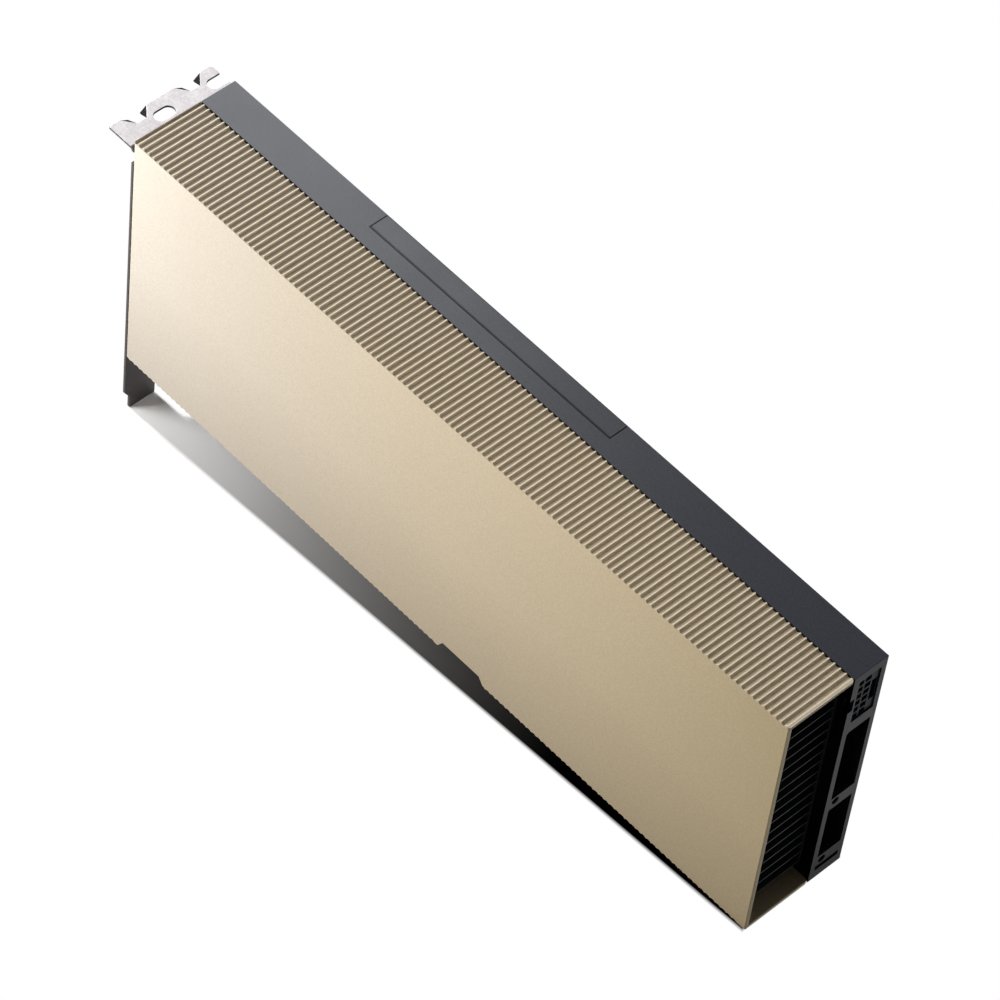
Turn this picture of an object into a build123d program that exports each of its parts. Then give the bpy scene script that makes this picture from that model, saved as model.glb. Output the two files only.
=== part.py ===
from build123d import *
from math import asin, cos, radians, sin
import os

os.makedirs("parts", exist_ok=True)

# The card stands as it does in its slot, in millimetres.
# +X runs from the bracket to the rear end, +Y from the front face to the back face, +Z up.
# The origin lies on the contact edge, at the key notch and half way through the board.

# Card outline
card_height = 111.15
card_depth = 37.9
cover_length = 266.7
cover_height = 96.6
frame_depth = 12.9
key_inset = 70.8

# Circuit board
board_thickness = 1.57
board_back_gap = 1.4
board_end_gap = 2.0
board_rear_gap = 11.2
board_top_gap = 0.5
tongue_height = 8.25
tongue_short_side = 12.6
tongue_long_side = 72.6
tongue_chamfer = 0.8
key_width = 1.9
key_height = 7.9
hook_gap = 2.6
hook_width = 5.4
hook_height = 4.6
hook_mouth = 1.9
link_tongue_length = 25.0
link_tongue_height = 3.2

# Front cover and its ribs
cover_wall = 1.2
seam_gap = 0.2
rib_pitch = 2.165
rib_depth = 0.75
rib_crest = 0.42
groove_facets = 8
first_groove_inset = 0.35
rear_border = 1.5
cover_corner = 1.0
rim_bevel = 0.35
latch_notch_start = 139.1
latch_notch_length = 19.2
latch_notch_height = 3.0
latch_notch_slope = 1.9
foot_length = 10.0
foot_width = 4.4
foot_thickness = 1.5
foot_rows = 3

# Base frame
frame_wall = 1.2
frame_end_wall = 1.5
mid_plate = 1.2
window_end_inset = 9.0
window_side_inset = 8.5
boss_radius = 3.0
boss_inset = 5.2
spigot_radius = 1.7
boss_bore_radius = 1.05
boss_bore_depth = 6.0
seat_pad_radius = 3.6
bracket_gap = 1.0
lug_length = 5.0
lug_radius = 3.2

# Rear end plate, heights from the cover's lower face and depths from the card's back face
rear_window_back = 1.75
rear_window_front = 11.0
lower_window_bottom = 10.6
lower_window_height = 23.0
upper_window_bottom = 38.7
window_web = 4.6
window_chamfer = 0.8
rear_slot_bottom = 3.9
rear_slot_height = 2.0
extender_hole_radius = 1.25
extender_hole_chamfer = 0.25
extender_hole_bottom = 8.1
extender_hole_spacing = 28.5
extender_hole_depth_from_back = 8.85
extender_boss_radius = 2.5
extender_boss_length = 5.0

# Power connector
inlet_top_margin = 3.3
inlet_height = 18.4
inlet_back = 1.9
inlet_front = 10.5
inlet_clearance = 0.1
inlet_recess = 0.5
inlet_length = 20.0
contact_rows = 6
contact_pitch = 3.0
contact_cell_width = 2.3
contact_cell_height = 2.15
contact_cell_depth = 11.0
contact_first_column = 9.1
contact_lowest_row = 1.3
contact_pin = 1.0
contact_pin_length = 14.0
contact_room = 9.0
signal_slot_front = 4.3
signal_slot_back = 2.1
signal_slot_bottom = 4.7
signal_slot_height = 9.0
signal_slot_depth = 7.0
latch_gate_rise = 6.3
latch_gate_height = 5.4
latch_gate_depth = 1.7
latch_gate_length = 2.0
latch_ramp_length = 4.0

# Link connector cover
link_start = 66.1
link_length = 99.2
link_depth = 6.6
link_seam = 0.12
link_leg_length = 9.0
link_leg_thickness = 0.9
link_leg_drop = 3.6
link_barb = 0.5
link_leg_pairs = 3

# Back plate and its screws
backplate_thickness = 1.0
backplate_gap = 0.1
backplate_head_radius = 2.4
backplate_head_height = 0.7
screw_clearance = 0.1
spring_screw_hole = 3.6

# Cooling fins and heat spreader
fin_thickness = 0.45
fin_pitch = 4.95
first_fin_inset = 6.15
fin_front_gap = 0.15
intake_recess = 4.3
outlet_gap = 3.0
spreader_flange = 0.65
spreader_body = 3.3
spreader_fit = 0.4
seat_gap = 0.05
spring_screw_spacing = 64.0
spring_post_radius = 3.5
spring_post_gap = 0.2
spring_screw_radius = 1.45
spring_screw_length = 6.0
spring_screw_head_radius = 2.75
spring_screw_head_height = 1.3
spring_washer_height = 0.6
spring_washer_radius = 2.9
spring_washer_thickness = 0.25

# Processor package and its neighbours on the board
processor_inset = 112.0
processor_rise = 46.0
package_width = 55.0
package_thickness = 1.5
die_length = 26.0
die_height = 30.0
die_thickness = 0.8
stack_length = 8.0
stack_height = 9.4
stack_gap = 0.6
stack_rows = 3
ring_width = 2.6
ring_thickness = 0.75
paste_gap = 0.05
choke_width = 8.6
choke_height = 5.0
choke_pitch = 11.4
choke_rows = 6
choke_offset = 47.0
choke_corner = 1.2
pad_thickness = 0.55
stage_width = 5.0
stage_thickness = 0.8
stage_offset = 9.5

# Slot bracket, a folded sheet
sheet = 0.86
bend_radius = 0.8
bracket_width = 38.74
bracket_drop = 120.02
flange_length = 10.9
flange_step = 4.5
bracket_overhang = 1.4
slot_pitch = 20.32
screw_slot_width = 7.3
screw_slot_length = 4.4
screw_slot_inset = 5.9
screw_slot_from_back = 22.9
guide_notch_width = 3.6
guide_notch_depth = 4.0
guide_notch_from_back = 7.6
guide_flap = 3.2
guide_flap_angle = 35.0
finger_round = 1.2
shoulder_drop = 21.6
shoulder_slope = 3.1
tab_width = 10.19
tab_from_front = 2.0
tab_round = 1.8
bend_relief_height = 4.8
bend_relief_depth = 1.6
vent_height = 2.8
vent_length = 9.4
vent_corner = 0.7
vent_columns = 2
vent_edge = 3.0
bracket_screw_radius = 1.5
bracket_screw_length = 4.5
bracket_screw_head_radius = 2.8
bracket_screw_head_height = 1.3
bracket_screw_inset = 11.0
bracket_screw_rows = 3

# Cover screws
cover_screw_radius = 0.9
cover_screw_head_radius = 1.8
cover_screw_head_height = 1.1
cover_screw_grip = 1.2

# Levels worked out from the sizes above
bracket_end_x = -key_inset
rear_end_x = bracket_end_x + cover_length
back_y = board_thickness / 2 + board_back_gap + backplate_thickness
front_y = back_y - card_depth
seam_y = back_y - frame_depth
cover_seam_y = seam_y - seam_gap
mid_plate_y = seam_y + mid_plate
plate_y = back_y - backplate_thickness
board_front_y = -board_thickness / 2
board_back_y = board_thickness / 2
top_z = card_height
bottom_z = top_z - cover_height
inner_top_z = top_z - cover_wall
inner_bottom_z = bottom_z + cover_wall
frame_top_z = top_z - frame_wall
frame_bottom_z = bottom_z + frame_wall
board_end_x = bracket_end_x + board_end_gap
board_rear_x = rear_end_x - board_rear_gap
board_top_z = frame_top_z - board_top_gap
board_bottom_z = tongue_height
processor_x = bracket_end_x + processor_inset
processor_z = bottom_z + processor_rise
fin_seat_y = seam_y - seat_gap - spreader_flange
spreader_face_y = seam_y - seat_gap + spreader_body
die_face_y = board_front_y - package_thickness - die_thickness
end_plate_x = rear_end_x - frame_end_wall
link_start_x = bracket_end_x + link_start
link_end_x = link_start_x + link_length
link_front_y = back_y - link_depth
housing_rear_x = rear_end_x - inlet_recess
housing_start_x = housing_rear_x - inlet_length
window_rear_x = housing_start_x - contact_room
inlet_bottom = cover_height - inlet_top_margin - inlet_height
upper_window_height = inlet_bottom - window_web - upper_window_bottom
latch_gate_bottom = inlet_bottom + latch_gate_rise


def facing_front(y):
    """Plane at depth y with X to the right and Z up, which extrudes towards the front."""
    return Plane.XZ.offset(-y)


def facing_back(y):
    """Plane at depth y with Z first and X second, which extrudes towards the back."""
    return Plane.ZX.offset(y)


def panel(u_low, u_high, v_low, v_high, mode=Mode.ADD):
    """Rectangle between two corners of the sketch."""
    with Locations(((u_low + u_high) / 2, (v_low + v_high) / 2)):
        Rectangle(u_high - u_low, v_high - v_low, mode=mode)


def save(piece, name):
    """Names a finished piece and writes it to its own file."""
    piece.part.label = name
    export_step(piece.part, f"parts/{name}.step")


# Places shared by the pieces that meet there
boss_columns = [
    bracket_end_x + window_end_inset,
    link_start_x - 2 * boss_radius,
    link_end_x + 2 * boss_radius,
    window_rear_x - boss_inset,
]
boss_places = [(x, z) for x in boss_columns for z in (bottom_z + boss_inset, top_z - boss_inset)]
foot_z = [inner_bottom_z + foot_width / 2, inner_top_z - foot_width / 2]
foot_x = [bracket_end_x + cover_length * (i + 0.5) / foot_rows for i in range(foot_rows)]
foot_places = [(x, z) for x in foot_x for z in foot_z]
spring_screw_places = [
    (processor_x + side * spring_screw_spacing / 2, processor_z + rise * spring_screw_spacing / 2)
    for side in (-1, 1)
    for rise in (-1, 1)
]
bracket_screw_y = (mid_plate_y + board_front_y) / 2
bracket_screw_step = (cover_height - 2 * bracket_screw_inset) / (bracket_screw_rows - 1)
bracket_screw_places = [
    (bracket_screw_y, bottom_z + bracket_screw_inset + i * bracket_screw_step)
    for i in range(bracket_screw_rows)
]
fin_room = inner_top_z - foot_width - fin_thickness / 2 - bottom_z - first_fin_inset
fin_count = int(fin_room / fin_pitch) + 1
fin_levels = [bottom_z + first_fin_inset + i * fin_pitch for i in range(fin_count)]

# Front cover: one shell of two ribbed side walls and a plain front wall, open at both ends
groove_width = rib_pitch - rib_crest
groove_radius = (groove_width**2 / 4 + rib_depth**2) / (2 * rib_depth)
first_groove_x = bracket_end_x + first_groove_inset
notch_start_x = bracket_end_x + latch_notch_start
notch_end_x = notch_start_x + latch_notch_length
inside_outline = [
    (bracket_end_x, inner_bottom_z),
    (notch_start_x - cover_wall, inner_bottom_z),
    (notch_start_x + latch_notch_slope - cover_wall, inner_bottom_z + latch_notch_height),
    (notch_end_x - latch_notch_slope + cover_wall, inner_bottom_z + latch_notch_height),
    (notch_end_x + cover_wall, inner_bottom_z),
    (rear_end_x, inner_bottom_z),
    (rear_end_x, inner_top_z),
    (bracket_end_x, inner_top_z),
]


def groove(centre, start, level, inward):
    """Points of a round groove from a start to its far edge, at equal turns of its arc."""
    low = asin((start - centre) / groove_radius)
    high = asin(groove_width / 2 / groove_radius)
    turns = [low + (high - low) * i / groove_facets for i in range(groove_facets + 1)]
    floor = rib_depth - groove_radius
    return [
        (centre + groove_radius * sin(turn), level + inward * (floor + groove_radius * cos(turn)))
        for turn in turns
    ]


def ribbed_edge(level, inward, x_from, x_to, x_last):
    """Points of an edge with a groove at each pitch, from its low end to its high end."""
    points = []
    for i in range(int((x_to - first_groove_x) / rib_pitch) + 1):
        centre = first_groove_x + i * rib_pitch
        if x_from <= centre <= x_to - groove_width / 2:
            points += groove(centre, max(centre - groove_width / 2, x_from), level, inward)
    if points[0][0] > x_from:
        points.insert(0, (x_from, level))
    return points + [(x_last, level)]


ribs_end_x = rear_end_x - rear_border
ribbed_outline = [
    *ribbed_edge(bottom_z, 1, bracket_end_x, notch_start_x, notch_start_x),
    (notch_start_x + latch_notch_slope, bottom_z + latch_notch_height),
    (notch_end_x - latch_notch_slope, bottom_z + latch_notch_height),
    *ribbed_edge(bottom_z, 1, notch_end_x, ribs_end_x, rear_end_x),
    *reversed(ribbed_edge(top_z, -1, bracket_end_x, ribs_end_x, rear_end_x)),
]
with BuildPart() as front_cover:
    with BuildSketch(facing_front(cover_seam_y)):
        with BuildLine():
            Polyline(*ribbed_outline, close=True)
        make_face()
    extrude(amount=cover_seam_y - front_y)
    # The inside, less the screw feet that stand on both side walls at the seam
    with BuildSketch(facing_front(cover_seam_y)):
        with BuildLine():
            Polyline(*inside_outline, close=True)
        make_face()
        for x, z in foot_places:
            with Locations((x, z)):
                Rectangle(foot_length, foot_width, mode=Mode.SUBTRACT)
                Circle(cover_screw_radius + screw_clearance / 2)
    extrude(amount=foot_thickness, mode=Mode.SUBTRACT)
    with BuildSketch(facing_front(cover_seam_y - foot_thickness)):
        with BuildLine():
            Polyline(*inside_outline, close=True)
        make_face()
    extrude(amount=cover_seam_y - foot_thickness - front_y - cover_wall, mode=Mode.SUBTRACT)
    rear_faces = front_cover.faces().filter_by(Axis.X).sort_by(Axis.X)[-1]
    seam_corners = rear_faces.edges().filter_by(Axis.Z).group_by(Axis.Y)[-1]
    fillet(seam_corners, cover_corner)
    rim = front_cover.faces().filter_by(Axis.X).sort_by(Axis.X)[-1].outer_wire().edges()
    front_rim = rim.filter_by(Axis.Z).group_by(Axis.Y)[0]
    chamfer(front_rim, rim_bevel)
save(front_cover, "front_cover")

# Base frame: a die-cast tray with a mid plate, four walls, bosses and the rear end plate
with BuildPart() as base_frame:
    with BuildSketch(facing_front(back_y)):
        panel(bracket_end_x, rear_end_x, bottom_z, top_z)
    extrude(amount=frame_depth)
    with BuildSketch(facing_front(back_y)):
        panel(bracket_end_x + frame_end_wall, end_plate_x, frame_bottom_z, frame_top_z)
    extrude(amount=back_y - mid_plate_y, mode=Mode.SUBTRACT)
    with BuildSketch(facing_front(back_y)):
        panel(bracket_end_x, rear_end_x, bottom_z, frame_top_z)
    extrude(amount=backplate_thickness, mode=Mode.SUBTRACT)
    with BuildSketch(facing_front(plate_y)):
        panel(board_end_x - board_end_gap / 2, board_rear_x + board_end_gap / 2, bottom_z, frame_bottom_z)
    extrude(amount=plate_y - board_front_y + board_top_gap, mode=Mode.SUBTRACT)
    with BuildSketch(facing_front(mid_plate_y)):
        panel(
            bracket_end_x + window_end_inset,
            window_rear_x,
            bottom_z + window_side_inset,
            top_z - window_side_inset,
        )
    extrude(amount=mid_plate, mode=Mode.SUBTRACT)
    with BuildSketch(Plane.XY.offset(frame_top_z)):
        panel(link_start_x, link_end_x, link_front_y, back_y)
    extrude(amount=frame_wall, mode=Mode.SUBTRACT)
    # Bosses that carry the board, each with a spigot through the board to the back plate
    with BuildSketch(facing_front(board_front_y)):
        with Locations(*boss_places):
            Circle(boss_radius)
    extrude(amount=board_front_y - mid_plate_y)
    with BuildSketch(facing_front(plate_y)):
        with Locations(*boss_places):
            Circle(spigot_radius)
    extrude(amount=plate_y - board_front_y)
    with BuildSketch(facing_front(plate_y)):
        with Locations(*boss_places):
            Circle(boss_bore_radius)
    extrude(amount=boss_bore_depth, mode=Mode.SUBTRACT)
    # Pads and lugs for the bracket's screws
    with BuildSketch(Plane.YZ.offset(bracket_end_x - bracket_gap)):
        with Locations(*bracket_screw_places):
            Circle(seat_pad_radius)
    extrude(amount=bracket_gap)
    with BuildSketch(Plane.YZ.offset(bracket_end_x)):
        with Locations(*bracket_screw_places):
            Circle(lug_radius)
    extrude(amount=lug_length)
    with BuildSketch(Plane.YZ.offset(bracket_end_x - bracket_gap)):
        with Locations(*bracket_screw_places):
            Circle(bracket_screw_radius + screw_clearance / 2)
    extrude(amount=bracket_gap + lug_length, mode=Mode.SUBTRACT)
    # Rear end plate with its bosses, windows, slot and connector opening
    extender_y = back_y - extender_hole_depth_from_back
    extender_z = bottom_z + extender_hole_bottom
    extender_places = [(extender_y, extender_z + i * extender_hole_spacing) for i in range(2)]
    with BuildSketch(Plane.YZ.offset(end_plate_x)):
        with Locations(*extender_places):
            Circle(extender_boss_radius)
    extrude(amount=-extender_boss_length)
    with Locations(*[(rear_end_x, y, z) for y, z in extender_places]):
        Cylinder(
            extender_hole_radius,
            2 * (frame_end_wall + extender_boss_length),
            rotation=(0, 90, 0),
            mode=Mode.SUBTRACT,
        )
    rear_face = base_frame.faces().filter_by(Axis.X).sort_by(Axis.X)[-1]
    hole_rims = rear_face.edges().filter_by(GeomType.CIRCLE)
    chamfer(hole_rims, extender_hole_chamfer)
    with BuildSketch(Plane.YZ.offset(rear_end_x)):
        window_front_y = back_y - rear_window_front
        window_back_y = back_y - rear_window_back
        lower_z = bottom_z + lower_window_bottom
        upper_z = bottom_z + upper_window_bottom
        upper_top_z = upper_z + upper_window_height
        panel(window_front_y, window_back_y, lower_z, lower_z + lower_window_height)
        with BuildLine():
            Polyline(
                (window_front_y, upper_z),
                (window_back_y, upper_z),
                (window_back_y, upper_top_z),
                (window_front_y + window_chamfer, upper_top_z),
                (window_front_y, upper_top_z - window_chamfer),
                close=True,
            )
        make_face()
        slot_z = bottom_z + rear_slot_bottom
        panel(window_front_y, window_back_y, slot_z, slot_z + rear_slot_height)
        inlet_z = bottom_z + inlet_bottom
        panel(back_y - inlet_front, back_y - inlet_back, inlet_z, inlet_z + inlet_height)
    extrude(amount=-frame_end_wall - extender_boss_length, mode=Mode.SUBTRACT)
    gate_z = bottom_z + latch_gate_bottom
    with BuildSketch(Plane.YZ.offset(rear_end_x)):
        panel(seam_y, seam_y + latch_gate_depth, gate_z, gate_z + latch_gate_height)
    extrude(amount=-latch_gate_length, mode=Mode.SUBTRACT)
    # Clearance holes for the cover's screws
    with BuildSketch(facing_front(mid_plate_y)):
        with Locations(*foot_places):
            Circle(cover_screw_radius + screw_clearance)
    extrude(amount=mid_plate, mode=Mode.SUBTRACT)
save(base_frame, "base_frame")

# Link connector cover: a flush strip held in the frame's top wall by barbed legs
with BuildPart() as link_cover:
    link_low_x = link_start_x + link_seam
    link_high_x = link_end_x - link_seam
    link_low_y = link_front_y + link_seam
    with BuildSketch(Plane.XY.offset(frame_top_z)):
        panel(link_low_x, link_high_x, link_low_y, back_y)
    extrude(amount=frame_wall)
    leg_span = (link_length - 2 * link_leg_length) / (link_leg_pairs - 1)
    leg_x = [link_start_x + link_leg_length + i * leg_span for i in range(link_leg_pairs)]
    for x in leg_x:
        with BuildSketch(Plane.YZ.offset(x - link_leg_length / 2)):
            with BuildLine():
                Polyline(
                    (link_low_y, frame_top_z),
                    (link_low_y, frame_top_z - seat_gap),
                    (link_low_y - link_barb, frame_top_z - seat_gap),
                    (link_low_y + link_leg_thickness / 2, frame_top_z - link_leg_drop),
                    (link_low_y + link_leg_thickness, frame_top_z - link_leg_drop),
                    (link_low_y + link_leg_thickness, frame_top_z),
                    close=True,
                )
            make_face()
        extrude(amount=link_leg_length)
save(link_cover, "link_cover")

# Back plate: a flat plate let into the frame, with countersunk and clear holes
with BuildPart() as backplate:
    with BuildSketch(facing_front(back_y)):
        panel(bracket_end_x, rear_end_x, bottom_z, frame_top_z - backplate_gap)
    extrude(amount=backplate_thickness)
    with Locations(facing_back(back_y)):
        with Locations(*[(z, x) for x, z in boss_places]):
            CounterSinkHole(
                radius=boss_bore_radius + screw_clearance,
                counter_sink_radius=backplate_head_radius,
                counter_sink_angle=90,
            )
    with BuildSketch(facing_front(back_y)):
        with Locations(*spring_screw_places):
            Circle(spring_screw_hole)
    extrude(amount=backplate_thickness, mode=Mode.SUBTRACT)
save(backplate, "backplate")

# Circuit board: card edge with key notch and hook below, three link tongues above
tongue_low_x = -tongue_short_side
tongue_high_x = tongue_long_side
hook_x = tongue_high_x + hook_gap
with BuildPart() as circuit_board:
    with BuildSketch(facing_front(board_back_y)):
        panel(board_end_x, board_rear_x, board_bottom_z, board_top_z)
        with BuildLine():
            Polyline(
                (tongue_low_x, board_bottom_z),
                (tongue_low_x, tongue_chamfer),
                (tongue_low_x + tongue_chamfer, 0),
                (-key_width / 2, 0),
                (-key_width / 2, key_height),
                (key_width / 2, key_height),
                (key_width / 2, 0),
                (tongue_high_x - tongue_chamfer, 0),
                (tongue_high_x, tongue_chamfer),
                (tongue_high_x, board_bottom_z),
                close=True,
            )
        make_face()
        with BuildLine():
            Polyline(
                (hook_x + hook_width / 2, board_bottom_z),
                (hook_x + hook_width / 2, board_bottom_z - hook_height + hook_mouth),
                (hook_x, board_bottom_z - hook_height + hook_mouth),
                (hook_x, board_bottom_z - hook_height),
                (hook_x + hook_width, board_bottom_z - hook_height),
                (hook_x + hook_width, board_bottom_z),
                close=True,
            )
        make_face()
        link_room = (link_length - 3 * link_tongue_length) / 4
        link_gap_z = board_top_z - link_tongue_height
        for i in range(4):
            gap_start = link_start_x + i * (link_tongue_length + link_room)
            panel(gap_start, gap_start + link_room, link_gap_z, board_top_z, mode=Mode.SUBTRACT)
        with Locations(*boss_places):
            Circle(spigot_radius + screw_clearance, mode=Mode.SUBTRACT)
        with Locations(*spring_screw_places):
            Circle(spring_screw_radius + 2 * screw_clearance, mode=Mode.SUBTRACT)
    extrude(amount=board_thickness)
    with BuildSketch(facing_front(board_front_y)):
        for side in (-1, 1):
            stage_x = processor_x + side * (choke_offset + stage_offset)
            with Locations((stage_x, processor_z)):
                with GridLocations(stage_width, choke_pitch, 1, choke_rows):
                    Rectangle(stage_width, stage_width)
    extrude(amount=stage_thickness)
save(circuit_board, "circuit_board")

# Processor package: substrate, bare die, memory stacks and stiffener ring
with BuildPart() as processor_substrate:
    with BuildSketch(facing_front(board_front_y)):
        with Locations((processor_x, processor_z)):
            Rectangle(package_width, package_width)
    extrude(amount=package_thickness)
save(processor_substrate, "processor_substrate")

package_face_y = board_front_y - package_thickness
with BuildPart() as processor_die:
    with BuildSketch(facing_front(package_face_y)):
        with Locations((processor_x, processor_z)):
            Rectangle(die_length, die_height)
    extrude(amount=die_thickness)
save(processor_die, "processor_die")

stack_step = stack_height + stack_gap
for i in range(2 * stack_rows):
    side = 1 if i < stack_rows else -1
    row = i % stack_rows - (stack_rows - 1) / 2
    stack_x = processor_x + side * (die_length / 2 + stack_gap + stack_length / 2)
    with BuildPart() as memory_stack:
        with BuildSketch(facing_front(package_face_y)):
            with Locations((stack_x, processor_z + row * stack_step)):
                Rectangle(stack_length, stack_height)
        extrude(amount=die_thickness)
    save(memory_stack, f"memory_stack_{i + 1}")

with BuildPart() as stiffener_ring:
    with BuildSketch(facing_front(package_face_y)):
        with Locations((processor_x, processor_z)):
            Rectangle(package_width, package_width)
            inside = package_width - 2 * ring_width
            Rectangle(inside, inside, mode=Mode.SUBTRACT)
    extrude(amount=ring_thickness)
save(stiffener_ring, "stiffener_ring")

# Chokes: two upright rows of moulded blocks with clipped corners, under their thermal pads
choke_columns = [processor_x - choke_offset, processor_x + choke_offset]
choke_levels = [
    processor_z + (i - (choke_rows - 1) / 2) * choke_pitch for i in range(choke_rows)
]
choke_places = [(x, z) for x in choke_columns for z in choke_levels]
for i, place in enumerate(choke_places):
    with BuildPart() as choke:
        with BuildSketch(facing_front(board_front_y)) as choke_outline:
            with Locations(place):
                Rectangle(choke_width, choke_width)
            chamfer(choke_outline.vertices(), choke_corner)
        extrude(amount=choke_height)
    save(choke, f"choke_{i + 1:02d}")

with BuildPart() as thermal_pads:
    with BuildSketch(facing_front(board_front_y - choke_height)):
        for x in choke_columns:
            with Locations((x, processor_z)):
                Rectangle(choke_width, choke_rows * choke_pitch)
    extrude(amount=pad_thickness)
save(thermal_pads, "thermal_pads")

# Heat spreader: a flange seated on the mid plate, a body in its window, pedestal and posts
body_side_inset = window_side_inset + spreader_fit
pedestal_width = package_width - 2 * ring_width - spreader_fit
with BuildPart() as heat_spreader:
    with BuildSketch(facing_front(seam_y - seat_gap)):
        panel(
            bracket_end_x + outlet_gap,
            rear_end_x - intake_recess,
            fin_levels[0] - fin_thickness / 2,
            fin_levels[-1] + fin_thickness / 2,
        )
    extrude(amount=spreader_flange)
    with BuildSketch(facing_front(spreader_face_y)):
        panel(
            bracket_end_x + window_end_inset + spreader_fit,
            window_rear_x - spreader_fit,
            bottom_z + body_side_inset,
            top_z - body_side_inset,
        )
    extrude(amount=spreader_body)
    with BuildSketch(facing_front(die_face_y - paste_gap)):
        with Locations((processor_x, processor_z)):
            Rectangle(pedestal_width, pedestal_width)
    extrude(amount=die_face_y - paste_gap - spreader_face_y)
    with BuildSketch(facing_front(board_front_y - spring_post_gap)):
        with Locations(*spring_screw_places):
            Circle(spring_post_radius)
    extrude(amount=board_front_y - spring_post_gap - spreader_face_y)
    with BuildSketch(facing_front(board_front_y - spring_post_gap)):
        with Locations(*spring_screw_places):
            Circle(spring_screw_radius + screw_clearance / 2)
    extrude(amount=spring_screw_length, mode=Mode.SUBTRACT)
save(heat_spreader, "heat_spreader")

# Cooling fins: thin plates that stand on the spreader and reach the cover's front wall
for i, level in enumerate(fin_levels):
    with BuildPart() as fin:
        with BuildSketch(Plane.XY.offset(level - fin_thickness / 2)):
            panel(
                bracket_end_x + outlet_gap,
                rear_end_x - intake_recess,
                front_y + cover_wall + fin_front_gap,
                fin_seat_y,
            )
        extrude(amount=fin_thickness)
    save(fin, f"fin_{i + 1:02d}")

# Power connector: a housing on the board's end with two columns of contact cells
housing_front_y = back_y - inlet_front + inlet_clearance
housing_back_y = back_y - inlet_back - inlet_clearance
housing_low_z = bottom_z + inlet_bottom + inlet_clearance
housing_high_z = bottom_z + inlet_bottom + inlet_height - inlet_clearance
column_y = [back_y - contact_first_column + i * contact_pitch for i in range(2)]
row_z = [bottom_z + inlet_bottom + contact_lowest_row + i * contact_pitch for i in range(contact_rows)]
cell_places = [(y, z) for y in column_y for z in row_z]
with BuildPart() as power_connector:
    with BuildSketch(Plane.XY.offset(housing_low_z)):
        with BuildLine():
            Polyline(
                (housing_start_x, housing_front_y),
                (housing_rear_x, housing_front_y),
                (housing_rear_x, housing_back_y),
                (board_rear_x + seat_gap, housing_back_y),
                (board_rear_x + seat_gap, board_front_y - seat_gap),
                (housing_start_x, board_front_y - seat_gap),
                close=True,
            )
        make_face()
    extrude(amount=housing_high_z - housing_low_z)
    with BuildSketch(Plane.YZ.offset(housing_rear_x)):
        with Locations(*cell_places):
            Rectangle(contact_cell_width, contact_cell_height)
    extrude(amount=-contact_cell_depth, mode=Mode.SUBTRACT)
    with BuildSketch(Plane.YZ.offset(housing_rear_x)):
        signal_z = bottom_z + inlet_bottom + signal_slot_bottom
        signal_top_z = signal_z + signal_slot_height
        panel(back_y - signal_slot_front, back_y - signal_slot_back, signal_z, signal_top_z)
    extrude(amount=-signal_slot_depth, mode=Mode.SUBTRACT)
    with BuildSketch(Plane.YZ.offset(housing_rear_x - contact_cell_depth)):
        with Locations(*cell_places):
            Rectangle(contact_pin, contact_pin)
    extrude(amount=contact_cell_depth - inlet_length, mode=Mode.SUBTRACT)
    ramp_end_x = end_plate_x - seat_gap
    with BuildSketch(Plane.XY.offset(gate_z + latch_gate_height / 4)):
        with BuildLine():
            Polyline(
                (ramp_end_x, housing_front_y),
                (ramp_end_x - latch_ramp_length, housing_front_y - latch_gate_depth / 3),
                (ramp_end_x - latch_ramp_length, housing_front_y),
                close=True,
            )
        make_face()
    extrude(amount=latch_gate_height / 2)
save(power_connector, "power_connector")

# Power contacts: square pins that lie in the housing and turn down to the board
pin_rear_x = housing_start_x + contact_pin_length
with BuildPart() as power_contacts:
    for column, y in enumerate(column_y):
        leg_x = housing_start_x - (2 - column) * 2 * contact_pin
        for z in row_z:
            with BuildSketch(Plane.XY.offset(z - contact_pin / 2)):
                with BuildLine():
                    Polyline(
                        (pin_rear_x, y - contact_pin / 2),
                        (leg_x, y - contact_pin / 2),
                        (leg_x, board_front_y),
                        (leg_x + contact_pin, board_front_y),
                        (leg_x + contact_pin, y + contact_pin / 2),
                        (pin_rear_x, y + contact_pin / 2),
                        close=True,
                    )
                make_face()
            extrude(amount=contact_pin)
save(power_contacts, "power_contacts")

# Slot bracket: one folded sheet with a screw flange, vents and two tabs
bracket_inner_x = bracket_end_x - bracket_gap
bracket_outer_x = bracket_inner_x - sheet
flange_top_z = top_z - flange_step
flange_low_z = flange_top_z - sheet
flange_end_x = bracket_inner_x - flange_length
tab_bottom_z = flange_top_z - bracket_drop
bracket_back_y = back_y + bracket_overhang
bracket_front_y = bracket_back_y - bracket_width
shoulder_z = bottom_z - shoulder_drop


def guide_flap_plate(fold_outer, fold_inner, corner):
    """Bends one corner of the flange down about the fold line between two points."""
    start = Vector(*fold_outer, flange_top_z)
    fold = (Vector(*fold_inner, flange_top_z) - start).normalized()
    reach = Vector(*corner, flange_top_z) - start
    away = (reach - fold * reach.dot(fold)).normalized()
    along = away.cross(Vector(0, 0, 1))
    tilt = radians(guide_flap_angle)
    plane = Plane(origin=start, x_dir=along, z_dir=Vector(0, 0, cos(tilt)) + away * sin(tilt))
    fold_length = (Vector(*fold_inner, flange_top_z) - start).dot(along)
    with BuildSketch(plane) as flap:
        with BuildLine():
            Polyline((0, 0), (fold_length, 0), (reach.dot(along), reach.dot(away)), close=True)
        make_face()
    extrude(flap.sketch, amount=-sheet)


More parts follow.
